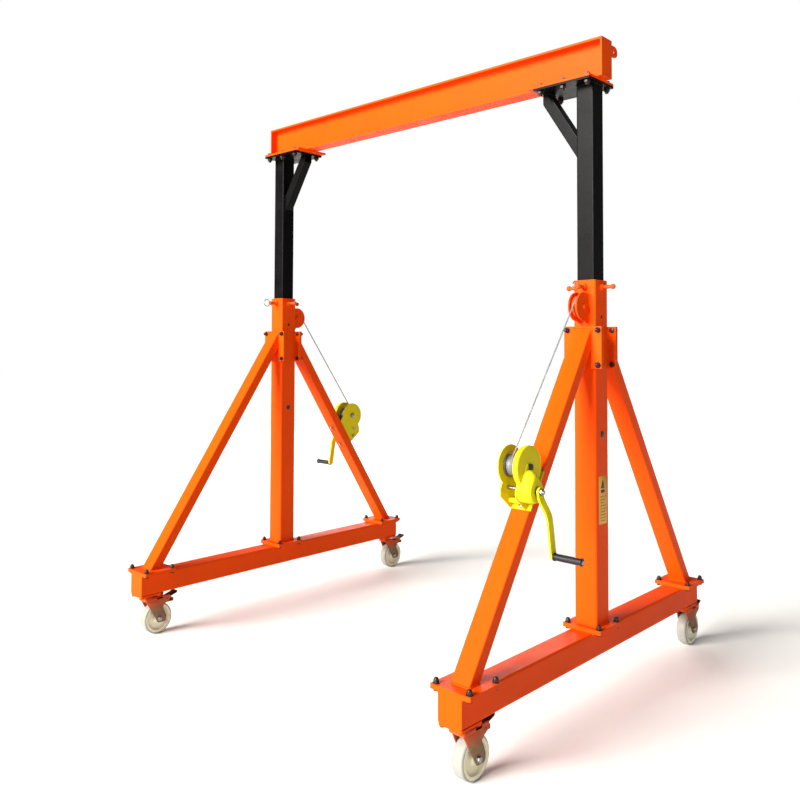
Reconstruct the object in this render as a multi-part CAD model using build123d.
"""Portable gantry crane: two wheeled A-frames, telescopic masts raised by hand winches, one top beam.

Millimetres. X runs along the top beam, Y along each end frame, Z up from the floor.
The left end is the right end turned half a turn about Z, apart from its casters and lock pin.
"""
import os
from math import atan2, cos, degrees, hypot, pi, sin

from build123d import *

# ---- driving dimensions ----
SPAN = 2000.0                 # between the column centres
BASE_LENGTH = 1810.0          # end frame, front to back
TUBE = 100.0                  # base beam and column, square
TUBE_CORNER = 8.0
BASE_WALL = 4.0
COLUMN_WALL = 3.0
BASE_BOTTOM = 208.0           # underside of the base beam
COLUMN_TOP = 1710.0
RUN = 0.05                    # radial running clearance

# flange plates, their bolts, and the braces
PLATE = 170.0                 # square
PLATE_THICK = 8.0
BOLT_PITCH = 140.0
BOLT_R = 6.0
BOLT_HOLE_R = 6.5
EAR_CENTRE = 1436.0           # height of the ear plates on the column
FOOT_Y = 820.0                # middle of a brace's foot plate
BRACE_FOOT_Y = 825.0          # where a brace's centre line meets its foot plate
BRACE_HEAD_Z = 1469.0         # where it meets the ear plate
BRACE_WIDTH = 80.0
BRACE_DEPTH = 50.0
BRACE_WALL = 3.0

# mast, beam and their plates; an X is measured outboard from the column's centre
MAST = 80.0
MAST_WALL = 4.0
MAST_CORNER = 6.0
MAST_FOOT = 1010.0            # with the beam at its stored height
BEAM_BOTTOM = 2540.0
BEAM_HEIGHT = 160.0
BEAM_LENGTH = 2160.0
FLANGE_WIDTH = 82.0
FLANGE_THICK = 9.0
WEB = 6.0
SEAT_THICK = 10.0             # mast top plate, and the seat plate on it
SEAT_HALF = 100.0
PLATE_OUT, PLATE_IN = 55.0, 210.0
SEAT_IN = 245.0
BEAM_BOLT_X = (35.0, -78.0, -188.0)
BEAM_BOLT_Y = 80.0
BEAM_BOLT_R, BEAM_HOLE_R = 8.0, 8.5
KNEE, KNEE_TILT = 50.0, 33.0  # knee brace, square, from the mast's inner face to the top plate
KNEE_X, KNEE_Z = -68.0, 2302.0
EYE_Y, EYE_Z = 66.0, 2660.0   # lifting eye on each end plate
EYE_R, EYE_HOLE_R = 23.0, 10.0

# rope, head pulley, clamp screws and lock pin
ROPE_R = 2.5
SHEAVE_R = 42.0               # to the rope's centre
SHEAVE_HALF = 12.0
SHEAVE_Z = 1600.0
CHEEK_IN, CHEEK_THICK = 14.0, 6.0
CHEEK_R = 58.0
PULLEY_PIN_R = 8.0
LOCK_Z = 1682.0               # ring of clamp screws and the lock pin
HOLE_PITCH = 100.0            # lock holes up the mast
SCREW_R = 8.0
BALL_R = 11.0
SCREW_BALL, PIN_BALL = 101.0, 94.0
RING_R, RING_WIRE = 19.0, 2.0

# hand winch, in its own frame: X outboard, Y up the brace, Z off the brace's face
WINCH_Z = 955.0               # height of the frame's origin on the brace's face
DRUM_OFF = 94.0
PINION_Y, PINION_Z = -74.5, 62.2
MODULE = 3.0
GEAR_TEETH, PINION_TEETH = 43, 11
SHAFT_R, PINION_SHAFT_R = 8.0, 7.0
DRUM_HUB_R = 14.0
DRUM_WRAP_R = 36.0            # to the centre of the rope that leaves the drum
DRUM_FLANGE_R = 46.0
DRUM_LEAD_X = -12.0           # where along the drum the rope leaves it
BACK_PLATE, NEAR_PLATE = -40.0, 26.0
SIDE_THICK = 4.0
SIDE_R = 75.0
COVER_R, COVER_DEEP = 78.0, 18.0
HOUSING_R, HOUSING_DEEP = 46.0, 59.0
COVER_WALL = 3.0
BASE_THICK = 5.0
BASE_OUT = 18.0               # how far the base plate stands out beyond the near side plate
WINCH_LOW, WINCH_HIGH = -128.0, 28.0
MOUNT_BOLT_X, MOUNT_BOLT_Y = 4.0, (-112.0, 14.0)
TIE_Y, TIE_Z, TIE_R = -108.0, 30.0, 5.0

# crank, drawn hanging along -Z from its hub
CRANK_X = 96.0                # inner face of the crank arm at its hub
CRANK_THICK = 8.0
CRANK_WIDTH = 32.0
CRANK_SET = 30.0              # how far the arm steps outboard
CRANK_REACH = 230.0           # hub to grip
CRANK_LEAN = 9.5              # degrees from hanging straight down
GRIP_LENGTH = 112.0
GRIP_R, GRIP_FLANGE_R, GRIP_PIN_R = 12.5, 15.0, 5.0

# casters
CASTER_Y = 850.0              # swivel axes
TRAIL = 55.0
WHEEL_R = 76.0
WHEEL_WIDTH = 48.0
AXLE_R = 6.0
KINGPIN_R = 8.0
CASTER_PLATE_X, CASTER_PLATE_Y = 100.0, 110.0
CASTER_PLATE_THICK = 8.0
CASTER_BOLT_X, CASTER_BOLT_Y, CASTER_BOLT_R = 40.0, 45.0, 5.0
LEG_IN, LEG_THICK = 29.0, 5.0
PEDAL_Y, PEDAL_Z = 96.0, 164.0
PEDAL_REACH = 66.0
PEDAL_PIN_R = 4.0

# ---- worked out ----
HALF = TUBE / 2
BASE_TOP = BASE_BOTTOM + TUBE
FOOT_TOP = BASE_TOP + 2 * PLATE_THICK
EAR_OUT = HALF + 2 * PLATE_THICK
ROPE_Y = HALF - COLUMN_WALL - 1 - ROPE_R
SHEAVE_Y = ROPE_Y + SHEAVE_R
BRACE_RUN = BRACE_FOOT_Y - EAR_OUT
BRACE_RISE = BRACE_HEAD_Z - FOOT_TOP
BRACE_TILT = atan2(BRACE_RUN, BRACE_RISE)
MAST_TOP = BEAM_BOTTOM - 2 * SEAT_THICK
LIFT_ROPE_FOOT = MAST_FOOT + 30
CROWN_TOP = BASE_BOTTOM - CASTER_PLATE_THICK - 8.3
FRONT_EDGE = -BASE_LENGTH / 2
REAR_EDGE = CASTER_Y + PEDAL_Y + PEDAL_REACH
ORIGIN_Y = (FRONT_EDGE + REAR_EDGE) / 2      # the pedals make the crane longer at the back
PART_NODES = {}


def keep(name, *pieces):
    """Store the solids of one node, with the origin under the middle of the whole crane."""
    solids = []
    for piece in pieces:
        solids += list((Pos(0, -ORIGIN_Y, 0) * piece).solids())
    PART_NODES[name] = solids


def block(x0, x1, y0, y1, z0, z1):
    """A box between two corners."""
    size = Box(x1 - x0, y1 - y0, z1 - z0)
    return Pos((x0 + x1) / 2, (y0 + y1) / 2, (z0 + z1) / 2) * size


def rod_x(x0, x1, y, z, r):
    return Pos((x0 + x1) / 2, y, z) * Rot(0, 90, 0) * Cylinder(r, x1 - x0)


def rod_y(x, y0, y1, z, r):
    return Pos(x, (y0 + y1) / 2, z) * Rot(90, 0, 0) * Cylinder(r, y1 - y0)


def rod_z(x, y, z0, z1, r):
    return Pos(x, y, (z0 + z1) / 2) * Cylinder(r, z1 - z0)


def hexagon(r, height):
    """A hex head on the XY plane, rising along Z, across-flats 2r."""
    return extrude(RegularPolygon(r, 6, major_radius=False), height)


def tube(width, depth, wall, corner, z0, z1):
    """A square-section tube standing on z0."""
    outer = RectangleRounded(width, depth, corner)
    inner = RectangleRounded(width - 2 * wall, depth - 2 * wall, max(corner - wall, 1.5))
    return Pos(0, 0, z0) * extrude(outer - inner, z1 - z0)


def turned(shape):
    """The same piece on the left end."""
    return Rot(0, 0, 180) * shape


def at_right(shape):
    return Pos(SPAN / 2, 0, 0) * shape


def at_left(shape):
    return Pos(-SPAN / 2, 0, 0) * shape


# ---- flange plates ----
def flat_plate(z0, holes=True):
    plate = Pos(0, 0, z0) * extrude(RectangleRounded(PLATE, PLATE, 3), PLATE_THICK)
    if holes:
        for sx in (-1, 1):
            for sy in (-1, 1):
                x, y = sx * BOLT_PITCH / 2, sy * BOLT_PITCH / 2
                plate -= rod_z(x, y, z0 - 1, z0 + PLATE_THICK + 1, BOLT_HOLE_R)
    return plate


def upright_plate(y0):
    """A plate on the column's side, facing along Y, from y0 to y0 plus its thickness."""
    return Pos(0, y0 + PLATE_THICK, EAR_CENTRE) * Rot(90, 0, 0) * flat_plate(0)


# ---- base beam: tube, closed ends and three welded plates ----
def base_beam():
    half_length = BASE_LENGTH / 2
    section = RectangleRounded(TUBE, TUBE, TUBE_CORNER)
    bore = RectangleRounded(TUBE - 2 * BASE_WALL, TUBE - 2 * BASE_WALL, TUBE_CORNER - BASE_WALL)
    centre = Pos(0, half_length, BASE_BOTTOM + HALF) * Rot(90, 0, 0)
    beam = centre * extrude(section, BASE_LENGTH)
    beam -= Pos(0, -BASE_WALL, 0) * centre * extrude(bore, BASE_LENGTH - 2 * BASE_WALL)
    for y in (-FOOT_Y, 0, FOOT_Y):
        beam += Pos(0, y, 0) * flat_plate(BASE_TOP)
    return beam


# ---- column: tube, foot plate, ear plates, screw bosses, pulley slot ----
def column():
    post = tube(TUBE, TUBE, COLUMN_WALL, TUBE_CORNER, BASE_TOP + PLATE_THICK, COLUMN_TOP)
    post += flat_plate(BASE_TOP + PLATE_THICK)
    post += upright_plate(HALF)
    post += upright_plate(-HALF - PLATE_THICK)
    boss_r, boss_out = 13.0, HALF + 11
    for angle in (0, 90, 180, 270):
        post += Rot(0, 0, angle) * rod_x(HALF - 1, boss_out, 0, LOCK_Z, boss_r)
        post -= Rot(0, 0, angle) * rod_x(HALF - 12, boss_out + 1, 0, LOCK_Z, SCREW_R + RUN)
    slot_half, slot_rise = 12.0, 33.0
    post -= block(-slot_half, slot_half, -HALF - 1, -HALF + 5, SHEAVE_Z - slot_rise, SHEAVE_Z + slot_rise)
    return post


def column_holes():
    """A small hole near the top and a plugged one lower down, both on the +X face of either column."""
    return rod_x(HALF - 5, HALF + 1, 0, 1560, 6.5) + rod_x(HALF - 5, HALF + 1, 0, 1085, 11)


# ---- brace: slanting tube with a foot plate and an ear plate ----
def brace():
    """The front brace of a frame centred on the origin; it leans back from -Y to the column."""
    length = hypot(BRACE_RUN, BRACE_RISE)
    bar = tube(BRACE_WIDTH, BRACE_DEPTH, BRACE_WALL, 5, -60, length + 80)
    bar = Pos(0, -BRACE_FOOT_Y, FOOT_TOP) * Rot(-degrees(BRACE_TILT), 0, 0) * bar
    bar &= block(-HALF, HALF, -BASE_LENGTH / 2, -EAR_OUT, FOOT_TOP, EAR_CENTRE + PLATE / 2)
    foot = Pos(0, -FOOT_Y, 0) * flat_plate(BASE_TOP + PLATE_THICK)
    ear = upright_plate(-EAR_OUT)
    return bar + foot + ear


# ---- flange bolts and nuts ----
def bolt_places():
    """Bolt centres of one frame: (location of the joint face, grip direction)."""
    places = []
    for sx in (-1, 1):
        for s in (-1, 1):
            x, offset = sx * BOLT_PITCH / 2, s * BOLT_PITCH / 2
            for y in (-FOOT_Y, 0, FOOT_Y):
                places.append(Pos(x, y + offset, FOOT_TOP))
            z = EAR_CENTRE + offset
            places.append(Pos(x, -EAR_OUT, z) * Rot(90, 0, 0))
            places.append(Pos(x, EAR_OUT, z) * Rot(-90, 0, 0))
    return places


def flange_bolt():
    """Head below the plate pair, shank through it; the joint face is at z = 0."""
    grip = 2 * PLATE_THICK
    return Pos(0, 0, -grip - 7.5) * hexagon(9.5, 7.5) + rod_z(0, 0, -grip - 0.5, 16, BOLT_R)


def acorn_nut():
    """Washer, hex and dome, standing on z = 0."""
    nut = rod_z(0, 0, 0, 2.5, 13) + Pos(0, 0, 2.5) * hexagon(9.5, 9)
    nut += Pos(0, 0, 11.5) * Sphere(8.6, arc_size1=0)
    return nut - rod_z(0, 0, -1, 16, BOLT_R)


# ---- head pulley ----
def cheek_plates():
    cheeks = []
    for x0 in (CHEEK_IN, -CHEEK_IN - CHEEK_THICK):
        x1 = x0 + CHEEK_THICK
        plate = rod_x(x0, x1, -SHEAVE_Y, SHEAVE_Z, CHEEK_R)
        plate += block(x0, x1, -SHEAVE_Y + 10, -HALF, SHEAVE_Z - 66, SHEAVE_Z + 55)
        plate &= block(x0 - 1, x1 + 1, -SHEAVE_Y - 60, -HALF, SHEAVE_Z - 70, SHEAVE_Z + 60)
        cheeks.append(plate - rod_x(x0 - 1, x1 + 1, -SHEAVE_Y, SHEAVE_Z, PULLEY_PIN_R))
    return cheeks


def sheave_pin():
    outer = CHEEK_IN + CHEEK_THICK
    pin = rod_x(-outer - 6, outer + 6, -SHEAVE_Y, SHEAVE_Z, PULLEY_PIN_R)
    for x0 in (outer, -outer - 7):
        pin += Pos(x0, -SHEAVE_Y, SHEAVE_Z) * Rot(0, 90, 0) * hexagon(10, 7)
    return pin


def sheave():
    """Grooved wheel; the rope's centre runs at SHEAVE_R."""
    rim, floor = SHEAVE_R + ROPE_R, SHEAVE_R - ROPE_R - 0.3
    wheel = rod_x(-SHEAVE_HALF, SHEAVE_HALF, 0, 0, rim)
    groove = rod_x(-ROPE_R - 0.6, ROPE_R + 0.6, 0, 0, rim + 2) - rod_x(-4, 4, 0, 0, floor)
    wheel -= groove
    wheel -= rod_x(-SHEAVE_HALF - 1, SHEAVE_HALF + 1, 0, 0, PULLEY_PIN_R + RUN)
    return Pos(0, -SHEAVE_Y, SHEAVE_Z) * wheel


# ---- hand winch, in its own frame ----
def winch_place():
    """The winch's frame on the front brace of the right end."""
    normal = Vector(0, -cos(BRACE_TILT), sin(BRACE_TILT))
    up = Vector(0, sin(BRACE_TILT), cos(BRACE_TILT))
    face = Vector(0, -BRACE_FOOT_Y, FOOT_TOP) + normal * (BRACE_DEPTH / 2)
    along = (WINCH_Z - face.Z) / up.Z
    return Plane(origin=face + up * along, x_dir=(1, 0, 0), z_dir=normal).location


def on_brace(shape):
    return winch_place() * shape


def winch_point(y, z):
    """A point of the winch's frame, in the crane's Y and Z."""
    place = (winch_place() * Pos(0, y, z)).position
    return place.Y, place.Z


def side_plate(x0):
    """Round over the drum, stepping in to a lower lobe that holds the pinion."""
    outline = Polyline((30, 0), (WINCH_LOW, 0), (WINCH_LOW, 20), (-122, 84), (-100, 100), (-70, 104),
                       (0, DRUM_OFF), (52, 60), close=True)
    face = make_face(outline) + Pos(0, DRUM_OFF) * Circle(SIDE_R)
    face -= Pos(0, DRUM_OFF) * Circle(DRUM_HUB_R + RUN)
    face -= Pos(PINION_Y, PINION_Z) * Circle(PINION_SHAFT_R + RUN)
    return Pos(x0, 0, 0) * extrude(Plane.YZ * face, SIDE_THICK)


def winch_frame():
    outer = NEAR_PLATE + SIDE_THICK
    base = block(BACK_PLATE, outer + BASE_OUT, WINCH_LOW, WINCH_HIGH, 0, BASE_THICK)
    frame = base + side_plate(BACK_PLATE) + side_plate(NEAR_PLATE)
    for y in MOUNT_BOLT_Y:
        frame -= rod_z(MOUNT_BOLT_X, y, -1, BASE_THICK + 1, BOLT_HOLE_R)
    return frame - rod_x(BACK_PLATE - 1, outer + 1, TIE_Y, TIE_Z, TIE_R)


def gear_cover():
    """Shallow drum over the gear, deep drum over the brake, one hollow shell."""
    x0 = NEAR_PLATE + SIDE_THICK
    top, deep = x0 + COVER_DEEP, x0 + HOUSING_DEEP
    shell = rod_x(x0, top, 0, DRUM_OFF, COVER_R) + rod_x(x0, deep, PINION_Y, PINION_Z, HOUSING_R)
    shell -= rod_x(x0 - 1, top - COVER_WALL, 0, DRUM_OFF, COVER_R - COVER_WALL)
    shell -= rod_x(x0 - 1, deep - COVER_WALL, PINION_Y, PINION_Z, HOUSING_R - COVER_WALL)
    shell -= rod_x(x0, deep + 1, PINION_Y, PINION_Z, PINION_SHAFT_R + 4)
    return shell - rod_x(x0, top + 1, 0, DRUM_OFF, SHAFT_R)


def winch_bolts():
    """Drum shaft, a tie bolt with its spacer, two mounting bolts through the brace."""
    outer = NEAR_PLATE + SIDE_THICK
    shaft = rod_x(BACK_PLATE - 9, outer + COVER_DEEP + 9, 0, DRUM_OFF, SHAFT_R)
    for x0 in (BACK_PLATE - 9, outer + COVER_DEEP):
        shaft += Pos(x0, 0, DRUM_OFF) * Rot(0, 90, 0) * hexagon(12, 8.5)
    tie = rod_x(BACK_PLATE - 8, outer, TIE_Y, TIE_Z, TIE_R)
    tie += rod_x(BACK_PLATE + SIDE_THICK, NEAR_PLATE, TIE_Y, TIE_Z, SHAFT_R)
    tie += Pos(BACK_PLATE - 8, TIE_Y, TIE_Z) * Rot(0, 90, 0) * hexagon(8, 8)
    made = [shaft, tie]
    for y in MOUNT_BOLT_Y:
        bolt = rod_z(MOUNT_BOLT_X, y, -BRACE_DEPTH - 10, 14, BOLT_R)
        bolt += Pos(MOUNT_BOLT_X, y, BASE_THICK) * hexagon(9.5, 8)
        bolt += Pos(MOUNT_BOLT_X, y, -BRACE_DEPTH - 8) * hexagon(9.5, 8)
        made.append(bolt)
    return made


def spur_gear(teeth, width):
    """Straight-flanked stub teeth with backlash, on the YZ plane, pushed along X."""
    pitch_r = MODULE * teeth / 2
    root, tip = pitch_r - 3.3, pitch_r + 2.0
    outline = []
    for k in range(teeth):
        centre = 2 * pi * k / teeth
        for r, half in ((root, 2.5), (pitch_r, 1.75), (tip, 0.85)):
            outline.append((r, centre - half / r))
        for r, half in ((tip, 0.85), (pitch_r, 1.75), (root, 2.5)):
            outline.append((r, centre + half / r))
    points = [(r * cos(a), r * sin(a)) for r, a in outline]
    return extrude(Plane.YZ * make_face(Polyline(*points, close=True)), width)


def drum():
    """Drum core with end flanges, the wound rope, and the gear on its outboard hub."""
    x0, x1 = BACK_PLATE + SIDE_THICK + 0.5, NEAR_PLATE - 0.5
    body = rod_x(x0, x1, 0, 0, DRUM_WRAP_R - ROPE_R - 0.3)
    body += rod_x(x0, x0 + 4, 0, 0, DRUM_FLANGE_R) + rod_x(x1 - 4, x1, 0, 0, DRUM_FLANGE_R)
    gear_x = NEAR_PLATE + SIDE_THICK + 2
    body += rod_x(x1, gear_x, 0, 0, DRUM_HUB_R)
    mesh_turn = degrees(atan2(PINION_Z - DRUM_OFF, PINION_Y))
    body += Pos(gear_x, 0, 0) * Rot(mesh_turn, 0, 0) * spur_gear(GEAR_TEETH, 12)
    body -= rod_x(x0 - 1, gear_x + 13, 0, 0, SHAFT_R + RUN)
    return Pos(0, 0, DRUM_OFF) * body


def pinion_shaft():
    gear_x = NEAR_PLATE + SIDE_THICK + 1
    shaft = rod_x(BACK_PLATE - 3, CRANK_X, 0, 0, PINION_SHAFT_R)
    mesh_turn = degrees(atan2(DRUM_OFF - PINION_Z, -PINION_Y)) + 180 / PINION_TEETH
    shaft += Pos(gear_x, 0, 0) * Rot(mesh_turn, 0, 0) * spur_gear(PINION_TEETH, 14)
    shaft += rod_x(CRANK_X - 12, CRANK_X, 0, 0, PINION_SHAFT_R + 3)
    return Pos(0, PINION_Y, PINION_Z) * shaft


def brake_discs():
    """A toothed ratchet wheel between two friction discs."""
    x0 = NEAR_PLATE + SIDE_THICK + 20
    disc_r, tip, root, teeth, thick = 30, 37, 32, 16, 6
    ratchet = []
    for k in range(teeth):
        turn = 2 * pi * k / teeth
        ratchet += [(tip * cos(turn), tip * sin(turn)), (root * cos(turn + 0.06), root * sin(turn + 0.06))]
    wheel = Pos(x0 + thick, 0, 0) * extrude(Plane.YZ * make_face(Polyline(*ratchet, close=True)), thick)
    discs = [rod_x(x0, x0 + thick, 0, 0, disc_r), wheel]
    discs.append(rod_x(x0 + 2 * thick, x0 + 3 * thick, 0, 0, disc_r))
    bore = rod_x(x0 - 1, x0 + 3 * thick + 1, 0, 0, PINION_SHAFT_R)
    return [Pos(0, PINION_Y, PINION_Z) * (disc - bore) for disc in discs]


def crank_place(shape):
    """Hang a crank piece, drawn with its arm along -Z, from the pinion in the crane's frame."""
    y, z = winch_point(PINION_Y, PINION_Z)
    return Pos(0, y, z) * Rot(CRANK_LEAN, 0, 0) * shape


def crank_arm():
    """Flat bar with an S-bend, a round hub, a retaining nut and the pin that carries the grip."""
    a, b = CRANK_X, CRANK_X + CRANK_THICK
    c, d = a + CRANK_SET, b + CRANK_SET
    end = CRANK_REACH + 12
    outline = Polyline((a, 14), (b, 14), (b, -22), (d, -82), (d, -end), (c, -end), (c, -86), (a, -26), close=True)
    bar = Plane.XZ * make_face(outline)
    arm = Pos(0, CRANK_WIDTH / 2, 0) * extrude(bar, CRANK_WIDTH)
    arm += rod_x(a, b, 0, 0, 16)
    arm += Pos(b, 0, 0) * Rot(0, 90, 0) * hexagon(11, 9)
    arm += rod_x(b + 8, b + 16, 0, 0, PINION_SHAFT_R)
    arm += rod_x(d - 1, d + GRIP_LENGTH + 2, 0, -CRANK_REACH, GRIP_PIN_R)
    arm += rod_x(d + GRIP_LENGTH + 0.6, d + GRIP_LENGTH + 3, 0, -CRANK_REACH, GRIP_PIN_R + 3)
    return crank_place(arm)


def crank_grip():
    x0 = CRANK_X + CRANK_THICK + CRANK_SET + 0.4
    x1 = x0 + GRIP_LENGTH - 0.4
    grip = rod_x(x0, x1, 0, -CRANK_REACH, GRIP_R)
    grip += rod_x(x0, x0 + 4, 0, -CRANK_REACH, GRIP_FLANGE_R) + rod_x(x1 - 5, x1, 0, -CRANK_REACH, GRIP_FLANGE_R)
    return crank_place(grip - rod_x(x0 - 1, x1 + 1, 0, -CRANK_REACH, GRIP_PIN_R + RUN))


# ---- rope ----
def hoist_rope():
    """From the drum up to the sheave and over it: a straight run and an arc the sheave's size."""
    drum_y, drum_z = winch_point(0, DRUM_OFF)
    dy, dz = drum_y + SHEAVE_Y, drum_z - SHEAVE_Z
    # The run touches both circles on their outer side, so its normal is turned from the centre line's.
    turn = atan2(dz, dy) - pi / 2 - atan2(SHEAVE_R - DRUM_WRAP_R, hypot(dy, dz))
    out_y, out_z = cos(turn), sin(turn)
    top = Vector(0, -SHEAVE_Y + SHEAVE_R * out_y, SHEAVE_Z + SHEAVE_R * out_z)
    low = Vector(DRUM_LEAD_X, drum_y + DRUM_WRAP_R * out_y, drum_z + DRUM_WRAP_R * out_z)
    run = low - top
    straight = Plane(origin=top, z_dir=run).location * Pos(0, 0, run.length / 2) * Cylinder(ROPE_R, run.length)
    centre = Vector(0, -SHEAVE_Y, SHEAVE_Z)
    ring = Plane(origin=centre, x_dir=(0, 1, 0), z_dir=(1, 0, 0))
    path = ring * CenterArc((0, 0), SHEAVE_R, 0, degrees(atan2(out_z, out_y)))
    over = sweep(Plane(origin=path @ 0, z_dir=path % 0) * Circle(ROPE_R), path)
    print("rope run %.1f mm, arc %.1f mm, sheave radius %.1f mm" % (run.length, path.length, SHEAVE_R))
    print("run from", [round(v, 1) for v in top], "to", [round(v, 1) for v in low])
    print("drum axis %.3f %.3f, pinion axis %.3f %.3f" % (drum_y, drum_z, *winch_point(PINION_Y, PINION_Z)))
    return over, straight


def lifting_rope():
    return rod_z(0, -ROPE_Y, LIFT_ROPE_FOOT, SHEAVE_Z, ROPE_R)


# ---- portal: mast, beam and their plates ----
def mast():
    """Tube, top plate, knee brace and the rope lug at the foot, for the right end."""
    post = tube(MAST, MAST, MAST_WALL, MAST_CORNER, MAST_FOOT, MAST_TOP)
    knee = Pos(KNEE_X, 0, KNEE_Z) * Rot(0, -KNEE_TILT, 0) * tube(KNEE, KNEE, 3, 4, -80, 340)
    knee &= block(-PLATE_IN, -MAST / 2, -KNEE, KNEE, MAST_TOP - 320, MAST_TOP)
    top = beam_plate(PLATE_IN, MAST_TOP)
    lug = block(-10, 10, -ROPE_Y - ROPE_R, -MAST / 2 + 1, MAST_FOOT, LIFT_ROPE_FOOT)
    return post + knee + top + lug


def beam_plate(reach_in, z0):
    """A plate under the beam, drilled for its bolts."""
    plate = block(-reach_in, PLATE_OUT, -SEAT_HALF, SEAT_HALF, z0, z0 + SEAT_THICK)
    for x in BEAM_BOLT_X:
        for y in (-BEAM_BOLT_Y, BEAM_BOLT_Y):
            plate -= rod_z(x, y, z0 - 1, z0 + SEAT_THICK + 1, BEAM_HOLE_R)
    return plate


def lock_holes():
    """Holes in the lower part of the mast's -Y wall, the highest of them level with the lock pin."""
    cuts = []
    for k in range(5):
        z = LOCK_Z - k * HOLE_PITCH
        cuts.append(rod_y(0, -MAST / 2 - 2, -MAST / 2 + MAST_WALL + 2, z, SCREW_R + 1))
    return cuts


def beam_bolts():
    made = []
    for x in BEAM_BOLT_X:
        for y in (-BEAM_BOLT_Y, BEAM_BOLT_Y):
            bolt = rod_z(x, y, MAST_TOP - 22, BEAM_BOTTOM + 4, BEAM_BOLT_R)
            bolt += Pos(x, y, BEAM_BOTTOM) * hexagon(12, 10)
            bolt += Pos(x, y, MAST_TOP - 13) * hexagon(12, 13)
            made.append(bolt)
    return made


def top_beam():
    half = BEAM_LENGTH / 2 - PLATE_THICK
    top = BEAM_BOTTOM + BEAM_HEIGHT
    profile = Rectangle(FLANGE_WIDTH, BEAM_HEIGHT)
    side_w = (FLANGE_WIDTH - WEB) / 2
    for s in (-1, 1):
        recess = RectangleRounded(side_w + 20, BEAM_HEIGHT - 2 * FLANGE_THICK, 9)
        profile -= Pos(s * (WEB / 2 + (side_w + 20) / 2), 0) * recess
    beam = extrude(Plane.YZ * profile, 2 * half)
    return Pos(-half, 0, (BEAM_BOTTOM + top) / 2) * beam


def end_plate(side):
    """Closes the beam's end; a rounded eye stands out of its +Y edge."""
    x0 = side * BEAM_LENGTH / 2 if side < 0 else BEAM_LENGTH / 2 - PLATE_THICK
    x1 = x0 + PLATE_THICK
    plate = block(x0, x1, -FLANGE_WIDTH / 2, FLANGE_WIDTH / 2, BEAM_BOTTOM, BEAM_BOTTOM + BEAM_HEIGHT)
    plate += block(x0, x1, 0, EYE_Y, EYE_Z - EYE_R, EYE_Z + EYE_R) + rod_x(x0, x1, EYE_Y, EYE_Z, EYE_R)
    return plate - rod_x(x0 - 1, x1 + 1, EYE_Y, EYE_Z, EYE_HOLE_R)


# ---- clamp screws and lock pins ----
def clamp_screw(turn):
    """Ball-headed screw that steadies the mast; turn 0 points in along -X."""
    screw = rod_x(MAST / 2 + 0.5, SCREW_BALL - BALL_R / 2, 0, LOCK_Z, SCREW_R)
    return Rot(0, 0, turn) * (screw + Pos(SCREW_BALL, 0, LOCK_Z) * Sphere(BALL_R))


def lock_pin():
    """Sliding pin with a ball and a pull ring, drawn back, along -Y."""
    pin = rod_y(0, -PIN_BALL + BALL_R / 2, -MAST / 2 - 1, LOCK_Z, SCREW_R)
    pin += Pos(0, -PIN_BALL, LOCK_Z) * Sphere(BALL_R)
    ring_y = -PIN_BALL - BALL_R - RING_R + 2 * RING_WIRE
    return pin + Pos(0, ring_y, LOCK_Z) * Rot(0, 90, 0) * Torus(RING_R, RING_WIRE)


# ---- caster: fork trails towards +Y ----
def caster_bolt_places():
    return [(sx * CASTER_BOLT_X, sy * CASTER_BOLT_Y) for sx in (-1, 1) for sy in (-1, 1)]


def caster_plate():
    under = BASE_BOTTOM - CASTER_PLATE_THICK
    plate = Pos(0, 0, under) * extrude(RectangleRounded(CASTER_PLATE_X, CASTER_PLATE_Y, 6), CASTER_PLATE_THICK)
    plate += rod_z(0, 0, under - 8, under, 30)
    plate -= rod_z(0, 0, under - 9, BASE_BOTTOM + 1, KINGPIN_R + RUN)
    for x, y in caster_bolt_places():
        plate -= rod_z(x, y, under - 1, BASE_BOTTOM + 1, CASTER_BOLT_R)
    return plate


def caster_bolts():
    under = BASE_BOTTOM - CASTER_PLATE_THICK
    made = []
    for x, y in caster_bolt_places():
        made.append(rod_z(x, y, under - 1, BASE_BOTTOM, CASTER_BOLT_R) + Pos(x, y, under - 7) * hexagon(8, 7))
    return made


def caster_yoke():
    """Swivel head, kingpin, crown, two tapered legs, axle bolt and the pedal's pivot pin."""
    outer = LEG_IN + LEG_THICK
    leg_top = CROWN_TOP - 8
    head = rod_z(0, 0, leg_top, CROWN_TOP, 34)
    kingpin = rod_z(0, 0, CROWN_TOP - 1, BASE_BOTTOM - 1, KINGPIN_R)
    crown = block(-outer, outer, -24, 84, leg_top - 5, leg_top)
    outline = Polyline((-24, leg_top), (114, leg_top), (110, 158), (84, 144), (73, 130), (86, 103), (94, 82),
                       (92, 66), (84, 57), (48, 57), (-18, leg_top - 10), close=True)
    leg = extrude(Plane.YZ * make_face(outline), LEG_THICK)
    legs = Pos(LEG_IN, 0, 0) * leg + Pos(-outer, 0, 0) * leg
    axle = rod_x(-outer - 8, outer + 8, TRAIL, WHEEL_R, AXLE_R)
    for x0 in (-outer - 8, outer):
        axle += Pos(x0, TRAIL, WHEEL_R) * Rot(0, 90, 0) * hexagon(10, 8)
    pivot = rod_x(-outer - 3, outer + 3, PEDAL_Y, PEDAL_Z, PEDAL_PIN_R)
    return head + kingpin + crown + legs + axle + pivot


def caster_wheel():
    """Nylon wheel: flat tread with rounded shoulders, dished sides and a long hub."""
    half = WHEEL_WIDTH / 2
    section = Polyline((6 + RUN, -27), (20, -27), (22, -16), (52, -14), (57, -half), (70, -half), (76, -17),
                       (76, 17), (70, half), (57, half), (52, 14), (22, 16), (20, 27), (6 + RUN, 27), close=True)
    wheel = revolve(make_face(section), Axis.Y)
    return Pos(0, TRAIL, WHEEL_R) * Rot(0, 0, 90) * wheel


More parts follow.
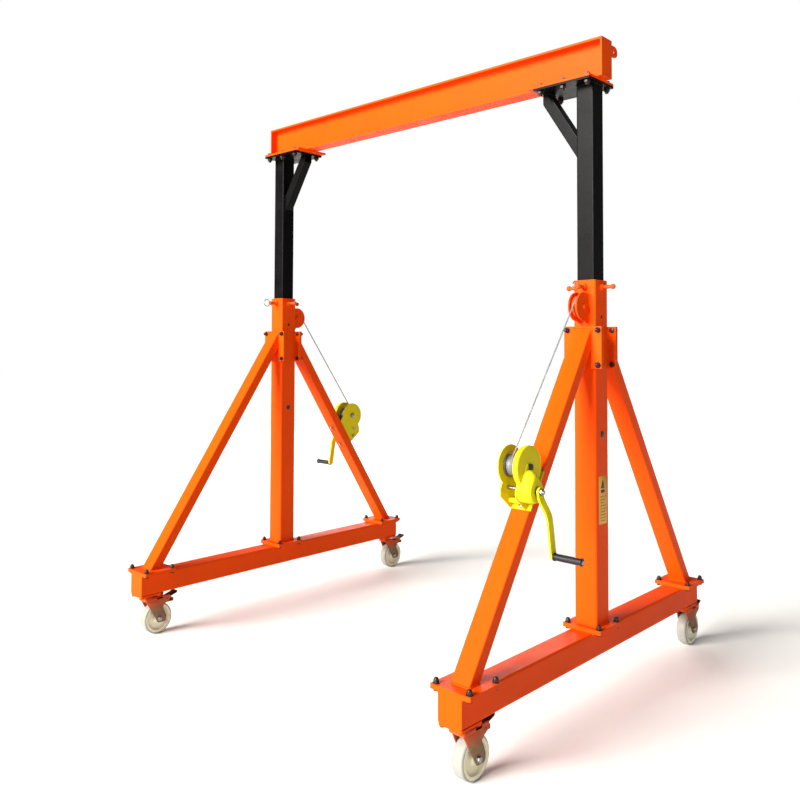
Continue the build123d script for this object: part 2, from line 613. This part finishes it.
def brake_pedal():
    """Foot lever on the cross pin, with a shoe that turns into the wheel's tread."""
    y0, z0, tip = PEDAL_Y, PEDAL_Z, PEDAL_Y + PEDAL_REACH
    lever = block(-27, 27, y0 - 8, y0 + 8, z0 - 8, z0 + 8)
    blade = Polyline((y0 + 4, z0), (y0 + 8, z0), (tip - 2, z0 + 17), (tip, z0 + 19), (tip, z0 + 26),
                     (tip - 5, z0 + 26), (tip - 5, z0 + 22), (y0 + 4, z0 + 6), close=True)
    lever += Pos(-22, 0, 0) * extrude(Plane.YZ * make_face(blade), 44)
    lever += block(-16, 16, y0 + 7, y0 + 47, z0 - 22, z0 - 17)
    lever += block(-16, 16, y0 + 43, y0 + 47, z0 - 22, z0 - 6)
    lever += block(-16, 16, y0 + 2, y0 + 7.5, z0 - 22, z0)
    return lever - rod_x(-30, 30, y0, z0, PEDAL_PIN_R + RUN)


# ---- assembly ----
keep("right_base_beam", at_right(base_beam()))
keep("left_base_beam", at_left(base_beam()))

keep("right_column", at_right(column() - column_holes()))
keep("left_column", at_left(turned(column()) - column_holes()))

plain_brace = brace()
winch_brace = plain_brace
for y in MOUNT_BOLT_Y:
    winch_brace -= on_brace(rod_z(MOUNT_BOLT_X, y, -BRACE_DEPTH - 5, 5, BOLT_HOLE_R))
keep("right_front_brace", at_right(winch_brace))
keep("right_rear_brace", at_right(turned(plain_brace)))
keep("left_front_brace", at_left(plain_brace))
keep("left_rear_brace", at_left(turned(winch_brace)))

one_bolt, one_nut = flange_bolt(), acorn_nut()
places = bolt_places()
keep("flange_bolts", *[end(spot * one_bolt) for end in (at_right, at_left) for spot in places])
keep("flange_acorn_nuts", *[end(spot * one_nut) for end in (at_right, at_left) for spot in places])


def keep_pair(name, pieces):
    """One node that holds the same pieces on both ends."""
    right = [at_right(piece) for piece in pieces]
    keep(name, *right, *[turned(piece) for piece in right])


def keep_both(name, *pieces):
    """A node for each end: right_NAME and left_NAME."""
    right = [at_right(piece) for piece in pieces]
    keep("right_" + name, *right)
    keep("left_" + name, *[turned(piece) for piece in right])


keep_pair("pulley_cheeks", cheek_plates())
keep_pair("sheave_pins", [sheave_pin()])
keep_both("sheave", sheave())
keep_both("winch_frame", on_brace(winch_frame()))
keep_pair("winch_gear_covers", [on_brace(gear_cover())])
keep_pair("winch_bolts", [on_brace(piece) for piece in winch_bolts()])
keep_both("winch_drum", on_brace(drum()))
keep_both("pinion_shaft", on_brace(pinion_shaft()))
keep_both("brake_discs", *[on_brace(piece) for piece in brake_discs()])
keep_both("crank_arm", crank_arm())
keep_both("crank_grip", crank_grip())
keep_both("hoist_rope", *hoist_rope())
keep_both("lifting_rope", lifting_rope())

right_mast = at_right(mast())
left_mast = turned(right_mast)
for cut in lock_holes():
    right_mast -= at_right(cut)
    left_mast -= at_left(cut)
keep("right_mast", right_mast)
vent_z, vent_r = 2215.0, 5.0
left_mast -= at_left(rod_y(0, -MAST / 2 - 2, -MAST / 2 + MAST_WALL + 2, vent_z, vent_r))
keep("left_mast", left_mast)
keep("top_beam", top_beam())
keep("beam_end_plates", end_plate(1), end_plate(-1))
keep_pair("beam_seat_plates", [beam_plate(SEAT_IN, MAST_TOP + SEAT_THICK)])
keep_pair("beam_bolts", beam_bolts())

for side, place, outward in (("right", at_right, 0), ("left", at_left, 180)):
    keep(side + "_outer_clamp_screw", place(clamp_screw(outward)))
    keep(side + "_inner_clamp_screw", place(clamp_screw(outward + 180)))
    keep(side + "_rear_clamp_screw", place(clamp_screw(90)))
    keep(side + "_lock_pin", place(lock_pin()))

plates, bolts = [], []
for side, x in (("right", SPAN / 2), ("left", -SPAN / 2)):
    for end, y in (("front", -CASTER_Y), ("rear", CASTER_Y)):
        spot = Pos(x, y, 0)
        plates.append(spot * caster_plate())
        bolts += [spot * bolt for bolt in caster_bolts()]
        name = side + "_" + end
        keep(name + "_caster_yoke", spot * caster_yoke())
        keep(name + "_caster_wheel", spot * caster_wheel())
        keep(name + "_brake_pedal", spot * brake_pedal())
keep("caster_plates", *plates)
keep("caster_bolts", *bolts)

os.makedirs("parts", exist_ok=True)
for name, solids in PART_NODES.items():
    shape = solids[0] if len(solids) == 1 else Compound(children=solids)
    export_step(shape, "parts/" + name + ".step")
print("origin y", ORIGIN_Y, "sheave y", SHEAVE_Y, "rope y", ROPE_Y)
print(len(PART_NODES), "nodes,", sum(len(s) for s in PART_NODES.values()), "solids")
